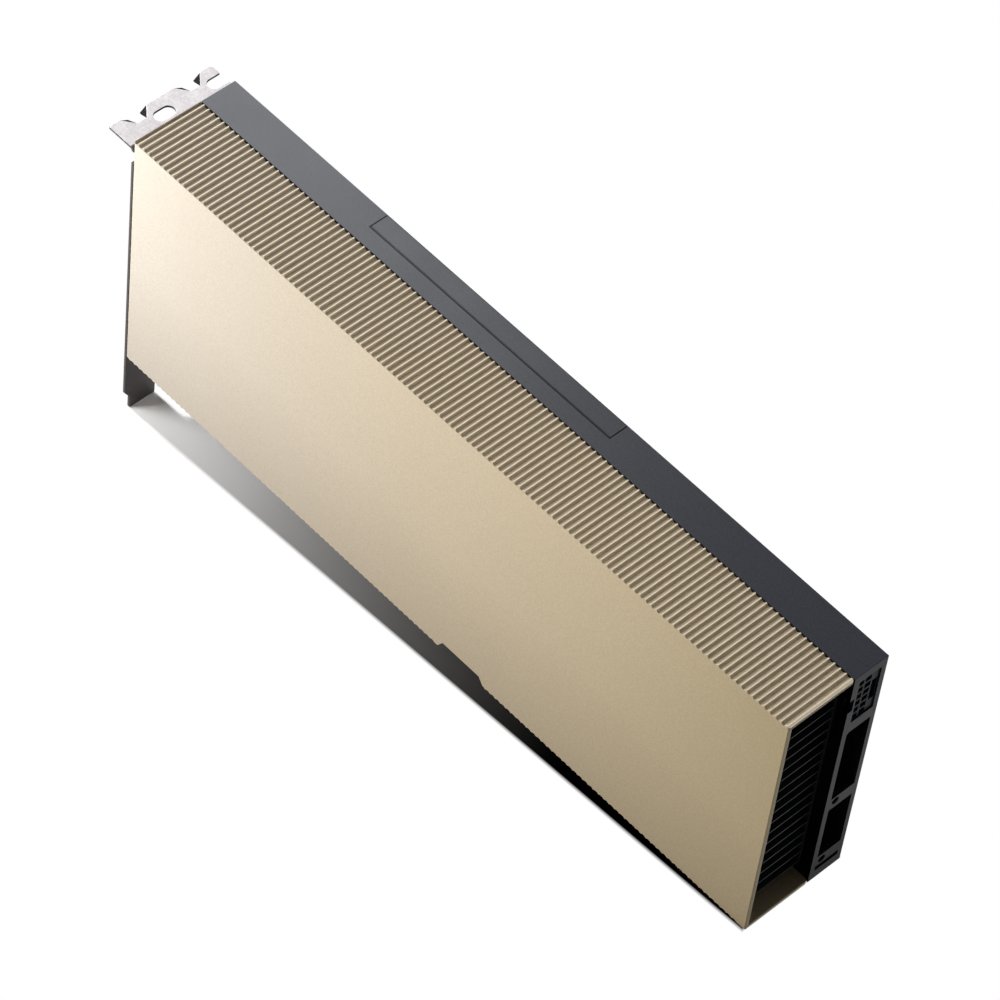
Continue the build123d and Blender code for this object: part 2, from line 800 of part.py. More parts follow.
with BuildPart() as slot_bracket:
    with BuildSketch(facing_front(bracket_back_y)):
        with BuildLine():
            outer_bend = bend_radius + sheet
            Polyline(
                (flange_end_x, flange_low_z),
                (flange_end_x, flange_top_z),
                (bracket_inner_x - outer_bend, flange_top_z),
            )
            RadiusArc(
                (bracket_inner_x - outer_bend, flange_top_z),
                (bracket_inner_x, flange_top_z - outer_bend),
                outer_bend,
            )
            Polyline(
                (bracket_inner_x, flange_top_z - outer_bend),
                (bracket_inner_x, tab_bottom_z),
                (bracket_outer_x, tab_bottom_z),
                (bracket_outer_x, flange_low_z - bend_radius),
            )
            RadiusArc(
                (bracket_outer_x, flange_low_z - bend_radius),
                (bracket_outer_x - bend_radius, flange_low_z),
                -bend_radius,
            )
            Line((bracket_outer_x - bend_radius, flange_low_z), (flange_end_x, flange_low_z))
        make_face()
    extrude(amount=bracket_width)
    # Screw slots, guide notches and their cut corners, one set for each slot of the case
    with BuildSketch(Plane.XY.offset(flange_low_z)):
        for i in range(2):
            slot_y = bracket_back_y - screw_slot_from_back + i * slot_pitch
            slot_x = bracket_inner_x - screw_slot_inset + sheet
            with Locations((slot_x, slot_y)):
                SlotOverall(screw_slot_width, screw_slot_length, rotation=90)
        panel(
            slot_x - screw_slot_length / 2,
            slot_x + screw_slot_length / 2,
            slot_y,
            bracket_back_y + screw_slot_length,
        )
        for i in range(2):
            notch_y = bracket_back_y - guide_notch_from_back - i * slot_pitch
            notch_low_y = notch_y - guide_notch_width
            notch_x = flange_end_x + guide_notch_depth
            with BuildLine():
                Polyline(
                    (flange_end_x, notch_y + guide_flap),
                    (notch_x, notch_y),
                    (notch_x, notch_low_y),
                    (flange_end_x, notch_low_y - guide_flap),
                    close=True,
                )
            make_face()
    extrude(amount=sheet, mode=Mode.SUBTRACT)
    finger_corners = slot_bracket.edges().filter_by(Axis.Z).group_by(Axis.X)[0].sort_by(Axis.Y)[-1]
    fillet(finger_corners, finger_round)
    for i in range(2):
        notch_y = bracket_back_y - guide_notch_from_back - i * slot_pitch
        notch_low_y = notch_y - guide_notch_width
        notch_x = flange_end_x + guide_notch_depth
        guide_flap_plate((flange_end_x, notch_y + guide_flap), (notch_x, notch_y), (flange_end_x, notch_y))
        guide_flap_plate(
            (flange_end_x, notch_low_y - guide_flap), (notch_x, notch_low_y), (flange_end_x, notch_low_y)
        )
    # Lower end: sloped shoulders, then a rounded tab for each slot
    with BuildSketch(Plane.YZ.offset(bracket_outer_x)):
        panel(bracket_front_y, bracket_back_y, tab_bottom_z, shoulder_z)
        for i in range(2):
            tab_y = bracket_front_y + tab_from_front + i * slot_pitch
            panel(tab_y, tab_y + tab_width, tab_bottom_z, shoulder_z, mode=Mode.SUBTRACT)
        for edge_y, inward in ((bracket_front_y, tab_from_front), (bracket_back_y, -tab_from_front)):
            with BuildLine():
                Polyline(
                    (edge_y, shoulder_z),
                    (edge_y + inward, shoulder_z),
                    (edge_y, shoulder_z + shoulder_slope),
                    close=True,
                )
            make_face()
    extrude(amount=sheet, mode=Mode.SUBTRACT)
    tab_corners = slot_bracket.edges().filter_by(Axis.X).group_by(Axis.Z)[0]
    fillet(tab_corners, tab_round)
    with BuildSketch(Plane.YZ.offset(bracket_outer_x)):
        relief_z = flange_low_z - bend_radius
        for y in (bracket_front_y, bracket_back_y):
            panel(y - bend_relief_depth, y + bend_relief_depth, relief_z - bend_relief_height, relief_z)
    extrude(amount=sheet, mode=Mode.SUBTRACT)
    # Vents in line with the air channels between the fins
    vent_front_y = front_y + cover_wall + vent_edge
    vent_back_y = seam_y - vent_edge
    vent_span = (vent_back_y - vent_front_y) / vent_columns
    vent_y = [vent_front_y + (i + 0.5) * vent_span for i in range(vent_columns)]
    vent_top_z = relief_z - bend_relief_height
    vent_z = [level + fin_pitch / 2 for level in fin_levels if level + fin_pitch < vent_top_z]
    with BuildSketch(Plane.YZ.offset(bracket_outer_x)) as vents:
        with Locations(*[(y, z) for y in vent_y for z in vent_z]):
            Rectangle(vent_length, vent_height)
        chamfer(vents.vertices(), vent_corner)
        with Locations(*bracket_screw_places):
            Circle(bracket_screw_radius + screw_clearance)
    extrude(amount=sheet, mode=Mode.SUBTRACT)
save(slot_bracket, "slot_bracket")

# Fasteners, each kind a group of like screws or washers
with BuildPart() as backplate_screws:
    with BuildSketch(facing_back(back_y)):
        with Locations(*[(z, x) for x, z in boss_places]):
            Circle(backplate_head_radius - screw_clearance)
    extrude(amount=-backplate_head_height, taper=45)
    with BuildSketch(facing_back(back_y)):
        with Locations(*[(z, x) for x, z in boss_places]):
            Circle(boss_bore_radius - screw_clearance / 2)
    extrude(amount=-boss_bore_depth)
save(backplate_screws, "backplate_screws")

with BuildPart() as spring_screws:
    washer_top_y = board_back_y + spring_washer_height
    with BuildSketch(facing_back(washer_top_y)):
        with Locations(*[(z, x) for x, z in spring_screw_places]):
            Circle(spring_screw_head_radius)
    extrude(amount=spring_screw_head_height)
    with BuildSketch(facing_back(washer_top_y)):
        with Locations(*[(z, x) for x, z in spring_screw_places]):
            Circle(spring_screw_radius)
    extrude(amount=-spring_screw_length)
save(spring_screws, "spring_screws")

with BuildPart() as spring_washers:
    for x, z in spring_screw_places:
        with BuildSketch(Plane(origin=(x, board_back_y, z), x_dir=(1, 0, 0), z_dir=(0, 0, 1))):
            with BuildLine():
                hole_r = spring_screw_radius + screw_clearance
                Polyline(
                    (spring_washer_radius, 0),
                    (spring_washer_radius, spring_washer_thickness),
                    (hole_r, spring_washer_height),
                    (hole_r, spring_washer_height - spring_washer_thickness),
                    close=True,
                )
            make_face()
        revolve(axis=Axis((x, board_back_y, z), (0, 1, 0)))
save(spring_washers, "spring_washers")

with BuildPart() as bracket_screws:
    with BuildSketch(Plane.YZ.offset(bracket_outer_x)):
        with Locations(*bracket_screw_places):
            Circle(bracket_screw_head_radius)
    extrude(amount=-bracket_screw_head_height)
    with BuildSketch(Plane.YZ.offset(bracket_outer_x)):
        with Locations(*bracket_screw_places):
            Circle(bracket_screw_radius)
    extrude(amount=bracket_screw_length)
save(bracket_screws, "bracket_screws")

with BuildPart() as cover_screws:
    with BuildSketch(facing_back(mid_plate_y)):
        with Locations(*[(z, x) for x, z in foot_places]):
            Circle(cover_screw_head_radius)
    extrude(amount=cover_screw_head_height)
    with BuildSketch(facing_back(mid_plate_y)):
        with Locations(*[(z, x) for x, z in foot_places]):
            Circle(cover_screw_radius)
    extrude(amount=-mid_plate - seam_gap - cover_screw_grip)
save(cover_screws, "cover_screws")
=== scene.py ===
import math

import bmesh
import bpy
from mathutils import Matrix, Vector


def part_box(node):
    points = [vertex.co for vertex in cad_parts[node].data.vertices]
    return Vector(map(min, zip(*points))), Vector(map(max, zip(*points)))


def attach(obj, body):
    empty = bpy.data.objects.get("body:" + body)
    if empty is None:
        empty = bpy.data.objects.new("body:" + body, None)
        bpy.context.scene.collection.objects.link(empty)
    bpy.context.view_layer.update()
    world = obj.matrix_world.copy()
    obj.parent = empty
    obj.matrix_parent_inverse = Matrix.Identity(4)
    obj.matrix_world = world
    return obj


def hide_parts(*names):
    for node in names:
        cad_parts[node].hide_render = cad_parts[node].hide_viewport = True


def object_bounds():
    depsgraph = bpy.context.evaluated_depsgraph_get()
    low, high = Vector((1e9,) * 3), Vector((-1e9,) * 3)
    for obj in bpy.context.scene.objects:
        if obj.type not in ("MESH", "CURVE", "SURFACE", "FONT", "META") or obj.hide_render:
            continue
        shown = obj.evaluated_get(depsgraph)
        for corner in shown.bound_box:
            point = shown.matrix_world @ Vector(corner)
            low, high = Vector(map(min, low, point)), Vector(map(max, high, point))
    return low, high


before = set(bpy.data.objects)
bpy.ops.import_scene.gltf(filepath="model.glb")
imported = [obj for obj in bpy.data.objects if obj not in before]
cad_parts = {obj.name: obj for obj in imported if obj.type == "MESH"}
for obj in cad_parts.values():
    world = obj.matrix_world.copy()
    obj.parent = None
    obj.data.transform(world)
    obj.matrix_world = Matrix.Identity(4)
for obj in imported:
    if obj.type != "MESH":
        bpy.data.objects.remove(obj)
cad_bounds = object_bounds()
mm = 0.001

# Circuit board: a glass and resin laminate under dark solder mask, with the card edge on its
# lower side and three link tongues on its upper side. It is screwed between the frame's bosses
# and the back plate.

number_socket = "NodeSocketFloat"
colour_socket = "NodeSocketColor"
untinted = (1, 1, 1, 1)

# Where a Mix node takes and gives its colours
mix_low = 6
mix_high = 7
mix_result = 2


def add(tree, kind, inputs, **fields):
    """Adds a node to a tree, sets its fields, and fills or links its inputs."""
    node = tree.nodes.new(kind)
    for field, value in fields.items():
        setattr(node, field, value)
    for key, value in inputs.items():
        if isinstance(value, bpy.types.NodeSocket):
            tree.links.new(value, node.inputs[key])
        else:
            node.inputs[key].default_value = value
    return node


def made(tree, kind, inputs, **fields):
    """Adds a node to a tree, and returns the first thing that it puts out."""
    return add(tree, kind, inputs, **fields).outputs[0]


def maths(tree, operation, first, second=0.0):
    """One step of arithmetic on values."""
    return made(tree, "ShaderNodeMath", {0: first, 1: second}, operation=operation)


def ramp(tree, value, start, end, low=0.0, high=1.0):
    """Value carried from one range to another, and held at both ends."""
    inputs = {"Value": value, "From Min": start, "From Max": end, "To Min": low, "To Max": high}
    return made(tree, "ShaderNodeMapRange", inputs)


def blended(tree, share, low, high, how="MIX"):
    """Colour that goes from low to high as the share goes from 0 to 1."""
    fields = {"data_type": "RGBA", "blend_type": how, "clamp_result": how != "MIX"}
    inputs = {"Factor": share, mix_low: low, mix_high: high}
    return add(tree, "ShaderNodeMix", inputs, **fields).outputs[mix_result]


def tinted(tree, base, tone):
    """Colour multiplied by a tone, and held at white."""
    return blended(tree, 1.0, base, tone, "MULTIPLY")


def place_on(tree):
    """Place of each spot on the card, as a vector."""
    return add(tree, "ShaderNodeTexCoord", {}).outputs["Object"]


def effect(name, inputs, outputs):
    """Starts a shader node group with named inputs and outputs, and returns its parts."""
    group = bpy.data.node_groups.new(name, "ShaderNodeTree")
    for key, (kind, value) in inputs.items():
        socket = group.interface.new_socket(key, in_out="INPUT", socket_type=kind)
        socket.default_value = value
    for key, kind in outputs.items():
        group.interface.new_socket(key, in_out="OUTPUT", socket_type=kind)
    given = group.nodes.new("NodeGroupInput").outputs
    result = group.nodes.new("NodeGroupOutput").inputs
    return group, given, result


# Grain shared by the paints, the platings and the mouldings: a fine speckle and a broad cloud
grain, given, result = effect(
    "Grain",
    {
        "Colour": (colour_socket, (0.5, 0.5, 0.5, 1)),
        "Roughness": (number_socket, 0.5),
        "Speckle Size": (number_socket, 0.3),
        "Speckle": (number_socket, 0.1),
        "Cloud Size": (number_socket, 20.0),
        "Cloud": (number_socket, 0.1),
    },
    {"Colour": colour_socket, "Roughness": number_socket, "Height": number_socket},
)
place = place_on(grain)
noise_middle = 0.5
fine_scale = maths(grain, "DIVIDE", 1 / mm, given["Speckle Size"])
broad_scale = maths(grain, "DIVIDE", 1 / mm, given["Cloud Size"])
fine = made(grain, "ShaderNodeTexNoise", {"Vector": place, "Scale": fine_scale, "Detail": 3.0})
broad = made(grain, "ShaderNodeTexNoise", {"Vector": place, "Scale": broad_scale, "Detail": 4.0})
fine_swing = maths(grain, "SUBTRACT", fine, noise_middle)
broad_swing = maths(grain, "SUBTRACT", broad, noise_middle)
speckle = maths(grain, "MULTIPLY", fine_swing, given["Speckle"])
cloud = maths(grain, "MULTIPLY", broad_swing, given["Cloud"])
gain = maths(grain, "ADD", maths(grain, "ADD", speckle, cloud), 1.0)
scaled = {0: given["Colour"], "Scale": gain}
tint = made(grain, "ShaderNodeVectorMath", scaled, operation="SCALE")
grain.links.new(tint, result["Colour"])
grain.links.new(maths(grain, "SUBTRACT", given["Roughness"], cloud), result["Roughness"])
grain.links.new(fine, result["Height"])


def finish_of(name, base, metallic, roughness, speckle, cloud, bump):
    """A grained finish. Speckle and cloud are a size in mm and a strength, bump is in mm.
    Returns the material, its tree, its shader and the grained colour, for what is added."""
    material = bpy.data.materials.new(name)
    material.use_nodes = True
    tree = material.node_tree
    shader = tree.nodes["Principled BSDF"]
    shader.inputs["Metallic"].default_value = metallic
    inputs = {
        "Colour": (*base, 1),
        "Roughness": roughness,
        "Speckle Size": speckle[0],
        "Speckle": speckle[1],
        "Cloud Size": cloud[0],
        "Cloud": cloud[1],
    }
    grained = add(tree, "ShaderNodeGroup", inputs, node_tree=grain)
    tree.links.new(grained.outputs["Colour"], shader.inputs["Base Color"])
    tree.links.new(grained.outputs["Roughness"], shader.inputs["Roughness"])
    relief = {"Height": grained.outputs["Height"], "Distance": bump * mm, "Strength": 1.0}
    tree.links.new(made(tree, "ShaderNodeBump", relief), shader.inputs["Normal"])
    return material, tree, shader, grained.outputs["Colour"]


def put_in(name, data):
    """A new object of the scene, which holds this mesh, lamp or camera."""
    piece = bpy.data.objects.new(name, data)
    bpy.context.scene.collection.objects.link(piece)
    return piece


weld = 0.002 * mm
sharp_angle = math.radians(32)
flat_angle = math.radians(1)


def reworked(node, name, material, rounding, segments=2):
    """A loaded piece as a mesh of its own, flat faces joined, and edges rounded by a width in mm."""
    piece = put_in(name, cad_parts[node].data.copy())
    body = bmesh.new()
    body.from_mesh(piece.data)
    bmesh.ops.remove_doubles(body, verts=body.verts, dist=weld)
    bmesh.ops.dissolve_limit(body, angle_limit=flat_angle, verts=body.verts, edges=body.edges)
    body.to_mesh(piece.data)
    body.free()
    if "custom_normal" in piece.data.attributes:
        piece.data.attributes.remove(piece.data.attributes["custom_normal"])
    piece.data.materials.clear()
    piece.data.materials.append(material)
    piece.data.shade_smooth()
    piece.data.set_sharp_from_angle(angle=sharp_angle)
    bevel = piece.modifiers.new("Rounded edges", "BEVEL")
    bevel.width = rounding * mm
    bevel.segments = segments
    bevel.limit_method = "ANGLE"
    bevel.angle_limit = sharp_angle
    bevel.harden_normals = True
    return piece


def show(piece, slot, *nodes):
    """Fixes a finished piece to the card in place of these loaded pieces."""
    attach(piece, "root")
    if nodes:
        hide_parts(*nodes)


mask_green = (0.006, 0.022, 0.014)
track_green = (1.7, 1.8, 1.5, 1)
mask_finish, tree, shader, grained = finish_of(
    "Solder mask", mask_green, 0.0, 0.38, speckle=(0.25, 0.5), cloud=(9.0, 0.35), bump=0.012
)
track_cells = {"Vector": place_on(tree), "Scale": 420.0, "Randomness": 0.35}
tracks = made(tree, "ShaderNodeTexVoronoi", track_cells, distance="MANHATTAN", feature="F1")
track_tone = blended(tree, ramp(tree, tracks, 0.42, 0.5), untinted, track_green)
tree.links.new(tinted(tree, grained, track_tone), shader.inputs["Base Color"])
shader.inputs["Coat Weight"].default_value = 0.5
shader.inputs["Coat Roughness"].default_value = 0.2

board = reworked("circuit_board", "circuit_board_laminate", mask_finish, 0.08, segments=1)
show(board, "board_laminate", "circuit_board")

# Contact fingers: gold plated copper pads on both faces of the card edge, 1 mm apart, etched
# with the board and plated afterwards.

gold_finish, *_ = finish_of(
    "Gold plating", (0.92, 0.62, 0.24), 1.0, 0.28, speckle=(0.08, 0.25), cloud=(2.5, 0.3), bump=0.004
)
vector_socket = "NodeSocketVector"
geometry_socket = "NodeSocketGeometry"
quarter_turn = math.pi / 2


def tree_of(name, inputs):
    """Starts a geometry tree with named inputs, and returns it with its input and output."""
    group = bpy.data.node_groups.new(name, "GeometryNodeTree")
    group.interface.new_socket("Places", in_out="INPUT", socket_type=geometry_socket)
    for key, (kind, value) in inputs.items():
        group.interface.new_socket(key, in_out="INPUT", socket_type=kind).default_value = value
    group.interface.new_socket("Pieces", in_out="OUTPUT", socket_type=geometry_socket)
    given = group.nodes.new("NodeGroupInput").outputs
    result = group.nodes.new("NodeGroupOutput").inputs
    return group, given, result


def joined(group, parts):
    """Several geometries as one."""
    node = add(group, "GeometryNodeJoinGeometry", {})
    for part in parts:
        group.links.new(part, node.inputs[0])
    return node.outputs[0]


def raised(group, face, height):
    """A flat face raised by a height, and closed underneath."""
    inputs = {"Mesh": face, "Offset Scale": height, "Individual": False}
    upper = made(group, "GeometryNodeExtrudeMesh", inputs, mode="FACES")
    under = made(group, "GeometryNodeFlipFaces", {0: face})
    shell = {0: joined(group, [upper, under]), "Distance": 0.001 * mm}
    return made(group, "GeometryNodeMergeByDistance", shell)


def end_tree(group, given, result, piece, material):
    """Ends a geometry tree: the piece stands on each place, as one mesh with its finish."""
    inputs = {"Points": given["Places"], "Instance": piece, "Rotation": given["Turn"]}
    spread = made(group, "GeometryNodeInstanceOnPoints", inputs)
    real = made(group, "GeometryNodeRealizeInstances", {0: spread})
    dressed = made(group, "GeometryNodeSetMaterial", {0: real, "Material": material})
    group.links.new(dressed, result[0])


def plain_mesh(piece):
    """A mesh of the piece as its modifiers leave it."""
    ready = piece.evaluated_get(bpy.context.evaluated_depsgraph_get())
    return bpy.data.meshes.new_from_object(ready)


def grown(name, group, places, values):
    """Runs a geometry tree on points in the card's frame, and keeps the result as a plain mesh."""
    mesh = bpy.data.meshes.new(name + "_places")
    mesh.from_pydata(places, [], [])
    piece = put_in(name, mesh)
    modifier = piece.modifiers.new("Repeat", "NODES")
    modifier.node_group = group
    sockets = {item.name: item.identifier for item in group.interface.items_tree}
    for key, value in values.items():
        modifier[sockets[key]] = value
    result = plain_mesh(piece)
    piece.modifiers.remove(modifier)
    piece.data = result
    piece.data.name = name
    return piece


# A thin plate with rounded corners on each point, flat against the board
plates, given, result = tree_of(
    "Plates on points",
    {
        "Width": (number_socket, 0.7 * mm),
        "Height": (number_socket, 3.6 * mm),
        "Thickness": (number_socket, 0.04 * mm),
        "Corner": (number_socket, 0.12 * mm),
        "Turn": (vector_socket, (quarter_turn, 0, 0)),
    },
)
plate_size = {"Width": given["Width"], "Height": given["Height"]}
outline = made(plates, "GeometryNodeCurvePrimitiveQuadrilateral", plate_size)
corners = {"Curve": outline, "Count": 3, "Radius": given["Corner"]}
outline = made(plates, "GeometryNodeFilletCurve", corners, mode="POLY")
plate_face = made(plates, "GeometryNodeFillCurve", {0: outline}, mode="NGONS")
plate = raised(plates, plate_face, given["Thickness"])
end_tree(plates, given, result, plate, gold_finish)

tongue_start = -12.6 * mm
tongue_end = 72.6 * mm
tongue_margin = 0.9 * mm
key_half = 1.4 * mm
finger_pitch = 1.0 * mm
finger_height = 4.0 * mm
finger_inset = 1.0 * mm
finger_face = 0.785 * mm
finger_count = int((tongue_end - tongue_start - finger_pitch) / finger_pitch)
finger_x = [tongue_start + tongue_margin + i * finger_pitch for i in range(finger_count)]
finger_x = [x for x in finger_x if abs(x) > key_half]
finger_z = finger_inset + finger_height / 2
for face, side in (("front", -1), ("back", 1)):
    places = [(x, side * finger_face, finger_z) for x in finger_x]
    values = {"Height": finger_height, "Turn": (-side * quarter_turn, 0, 0)}
    fingers = grown(f"contact_fingers_{face}", plates, places, values)
    show(fingers, "contact_metal")

# Processor package: a laminate substrate with a bare die, six memory stacks and a stiffener
# ring, soldered to the board and pressed against the heat spreader.

package_finish, *_ = finish_of(
    "Package laminate", (0.02, 0.05, 0.03), 0.0, 0.5, speckle=(0.2, 0.4), cloud=(6.0, 0.2), bump=0.02
)
silicon_finish, *_ = finish_of(
    "Silicon", (0.16, 0.17, 0.2), 0.9, 0.14, speckle=(0.1, 0.1), cloud=(5.0, 0.2), bump=0.001
)
ring_finish, *_ = finish_of(
    "Nickel ring", (0.6, 0.57, 0.52), 1.0, 0.32, speckle=(0.12, 0.3), cloud=(8.0, 0.2), bump=0.006
)


def dress(material, *names):
    """Gives a finish to the loaded pieces whose names start with one of these."""
    for node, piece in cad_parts.items():
        if node.startswith(names):
            piece.material_slots[0].material = material


dress(package_finish, "processor_substrate")
dress(silicon_finish, "processor_die", "memory_stack")
dress(ring_finish, "stiffener_ring")

# Chokes and thermal pads: pressed ferrite blocks of the power stages, and soft grey pads that
# carry their heat to the spreader.

choke_finish, *_ = finish_of(
    "Ferrite", (0.05, 0.05, 0.055), 0.0, 0.62, speckle=(0.15, 0.6), cloud=(4.0, 0.3), bump=0.03
)
pad_finish, *_ = finish_of(
    "Thermal pad", (0.3, 0.33, 0.36), 0.0, 0.8, speckle=(0.5, 0.3), cloud=(6.0, 0.2), bump=0.03
)
dress(choke_finish, "choke_")
dress(pad_finish, "thermal_pads")

# Cooling fins and heat spreader: rolled aluminium plates soldered to a machined plate, all
# blackened. The cut ends of the fins show as thin grey lines in the open rear end.


def axes_of(tree):
    """The three coordinates of each spot on the card."""
    return add(tree, "ShaderNodeSeparateXYZ", {0: place_on(tree)}).outputs


fin_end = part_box("fin_01")[1].x
black = (0.0035, 0.0038, 0.0045)
cut_grey = (0.012, 0.015, 0.019, 1)
fin_finish, tree, shader, grained = finish_of(
    "Blackened fins", black, 0.35, 0.55, speckle=(0.2, 0.4), cloud=(14.0, 0.3), bump=0.004
)
cut_end = ramp(tree, axes_of(tree)[0], fin_end - 0.06 * mm, fin_end - 0.02 * mm)
tree.links.new(blended(tree, cut_end, grained, cut_grey), shader.inputs["Base Color"])
shader.inputs["Specular IOR Level"].default_value = 0.15
dress(fin_finish, "fin_")

spreader_finish, tree, shader, grained = finish_of(
    "Blackened plate", black, 0.3, 0.6, speckle=(0.2, 0.4), cloud=(20.0, 0.3), bump=0.006
)
shader.inputs["Specular IOR Level"].default_value = 0.1
dress(spreader_finish, "heat_spreader")

# Base frame: a die-cast tray, powder coated in charcoal. Its top wall is the plain dark strip
# and its end is the rear plate with the windows and the connector opening.

charcoal = (0.021, 0.023, 0.030)
unlit_black = (0.003, 0.003, 0.004, 1)
seam_black = (0.001, 0.001, 0.001, 1)
charcoal_finish, tree, shader, grained = finish_of(
    "Charcoal powder coat", charcoal, 0.0, 0.29, speckle=(0.5, 0.9), cloud=(25.0, 0.12), bump=0.012
)
frame_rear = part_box("base_frame")[1].x
at_x, at_y, at_z = axes_of(tree)

# The strip's sheen falls towards the rear, and the end plate has little, least at its foot
strip_start = -70 * mm
strip_start_sheen = 0.4
strip_end_sheen = 0.16
end_plate_sheen = 0.05
foot_sheen_share = 0.3
end_face = ramp(tree, at_x, frame_rear - 0.3 * mm, frame_rear - 0.1 * mm)
strip_sheen = ramp(tree, at_x, strip_start, frame_rear, strip_start_sheen, strip_end_sheen)
sheen = ramp(tree, end_face, 0.0, 1.0, strip_sheen, end_plate_sheen)
foot_share = ramp(tree, at_z, 60 * mm, 20 * mm, 1.0, foot_sheen_share)
sheen = maths(tree, "MULTIPLY", sheen, foot_share)

# Painted shade: the walls behind the end plate's openings are painted almost black, and lose most
# of their sheen: those of its last part, under the top wall and in front of the back plate
painted_shade_sheen_share = 0.25
rear_part = ramp(tree, at_x, frame_rear - 14 * mm, frame_rear - 12 * mm)
under_strip = ramp(tree, at_z, 110.9 * mm, 110.5 * mm)
before_back = ramp(tree, at_y, -8.3 * mm, -8.45 * mm)
painted_shade_inside = maths(tree, "MULTIPLY", maths(tree, "MULTIPLY", rear_part, under_strip), before_back)
painted_shade_inside = maths(tree, "MULTIPLY", painted_shade_inside, maths(tree, "SUBTRACT", 1.0, end_face))
sheen = maths(tree, "MULTIPLY", sheen, ramp(tree, painted_shade_inside, 0.0, 1.0, 1.0, painted_shade_sheen_share))
charcoal_and_painted_shade = blended(tree, painted_shade_inside, grained, unlit_black)

# A hairline runs round the link cover
seam_outer = 0.32 * mm
seam_inner = 0.12 * mm
seam_strength = 0.85
seam_sheen_share = 0.1
link_low, link_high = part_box("link_cover")
beyond_link = []
for axis, at in ((0, at_x), (1, at_y)):
    middle = (link_low[axis] + link_high[axis]) / 2
    half = (link_high[axis] - link_low[axis]) / 2
    off_middle = maths(tree, "ABSOLUTE", maths(tree, "SUBTRACT", at, middle))
    beyond_link.append(maths(tree, "SUBTRACT", off_middle, half))
off_edge = maths(tree, "ABSOLUTE", maths(tree, "MAXIMUM", *beyond_link))
hairline = ramp(tree, off_edge, seam_outer, seam_inner, 0.0, seam_strength)
charcoal_and_painted_shade = blended(tree, hairline, charcoal_and_painted_shade, seam_black)
sheen = maths(tree, "MULTIPLY", sheen, ramp(tree, hairline, 0.0, 1.0, 1.0, seam_sheen_share))
tree.links.new(sheen, shader.inputs["Specular IOR Level"])
tree.links.new(charcoal_and_painted_shade, shader.inputs["Base Color"])

base_frame = reworked("base_frame", "die_cast_frame", charcoal_finish, 0.18)
show(base_frame, "frame_paint", "base_frame")

# Power connector: a moulded housing in the same grey, with two columns of contact cells that are
# painted dark inside as shade, and square brass pins.

housing_grey = (0.013, 0.015, 0.02)
painted_cell_shade = (0.002, 0.002, 0.002, 1)
housing_finish, tree, shader, grained = finish_of(
    "Moulded housing", housing_grey, 0.0, 0.5, speckle=(0.3, 0.25), cloud=(8.0, 0.15), bump=0.01
)
housing_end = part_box("power_connector")[1].x
# Painted shade: all of the housing deeper than its end face is painted near-black
outside = ramp(tree, axes_of(tree)[0], housing_end - 0.6 * mm, housing_end - 0.1 * mm)
tree.links.new(blended(tree, outside, painted_cell_shade, grained), shader.inputs["Base Color"])
shader.inputs["Specular IOR Level"].default_value = 0.08
housing = reworked("power_connector", "connector_housing", housing_finish, 0.12)
show(housing, "connector_plastic", "power_connector")

pin_finish, *_ = finish_of(
    "Dull brass", (0.25, 0.18, 0.08), 1.0, 0.45, speckle=(0.2, 0.3), cloud=(3.0, 0.3), bump=0.004
)
dress(pin_finish, "power_contacts")

# Front cover: one aluminium shell in a champagne satin coat. Round grooves run across its top
# and bottom walls and out through the front edge, and both ends are open.

champagne = (0.565, 0.48, 0.355)
painted_light_at_bracket = (1.0, 1.05, 1.24, 1)
painted_light_at_rear = (1.0, 0.97, 0.83, 1)
painted_shade_at_lower_edge = (0.84, 0.83, 0.82, 1)
painted_rib_light_at_bracket = (0.96, 0.96, 0.96, 1)
painted_rib_light_at_rear = (1.14, 1.17, 1.2, 1)
painted_groove_shade_at_bracket = (0.5, 0.5, 0.5, 1)
painted_groove_shade_at_rear = (1.0, 0.98, 0.95, 1)
turned_from_light = (0.58, 0.57, 0.55, 1)
painted_rim_highlight = (1.35, 1.35, 1.35, 1)
rib_depth = 0.75 * mm
rib_pitch = 2.165 * mm
champagne_finish, tree, shader, grained = finish_of(
    "Champagne satin coat", champagne, 0.1, 0.48, speckle=(0.38, 0.5), cloud=(40.0, 0.04), bump=0.004
)
cover_low, cover_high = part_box("front_cover")
at_x, at_y, at_z = axes_of(tree)
along = ramp(tree, at_x, cover_low.x, cover_high.x)

# Painted shade: the grooves are darker at the bottom, most towards the bracket, and on the flank
# that turns from the light
ribs_top = cover_high.z
ribs_bottom = ribs_top - rib_depth
first_flank = cover_low.x + 0.08 * mm
near_bottom = ramp(tree, at_z, ribs_top - 0.3 * mm, ribs_bottom)
ribbed_wall = ramp(tree, at_z, ribs_bottom - 0.2 * mm, ribs_bottom - 0.1 * mm)
groove = maths(tree, "MULTIPLY", near_bottom, ribbed_wall)
groove_shade_tone = blended(tree, along, painted_groove_shade_at_bracket, painted_groove_shade_at_rear)
coated = tinted(tree, grained, blended(tree, groove, untinted, groove_shade_tone))
ribs_passed = maths(tree, "DIVIDE", maths(tree, "SUBTRACT", at_x, first_flank), rib_pitch)
share_of_rib = maths(tree, "FRACT", maths(tree, "ADD", ribs_passed, 0.5))
off_flank = maths(tree, "ABSOLUTE", maths(tree, "SUBTRACT", share_of_rib, 0.5))
flank = maths(tree, "MULTIPLY", ramp(tree, off_flank, 0.3, 0.08), ribbed_wall)
coated = tinted(tree, coated, blended(tree, flank, untinted, turned_from_light))

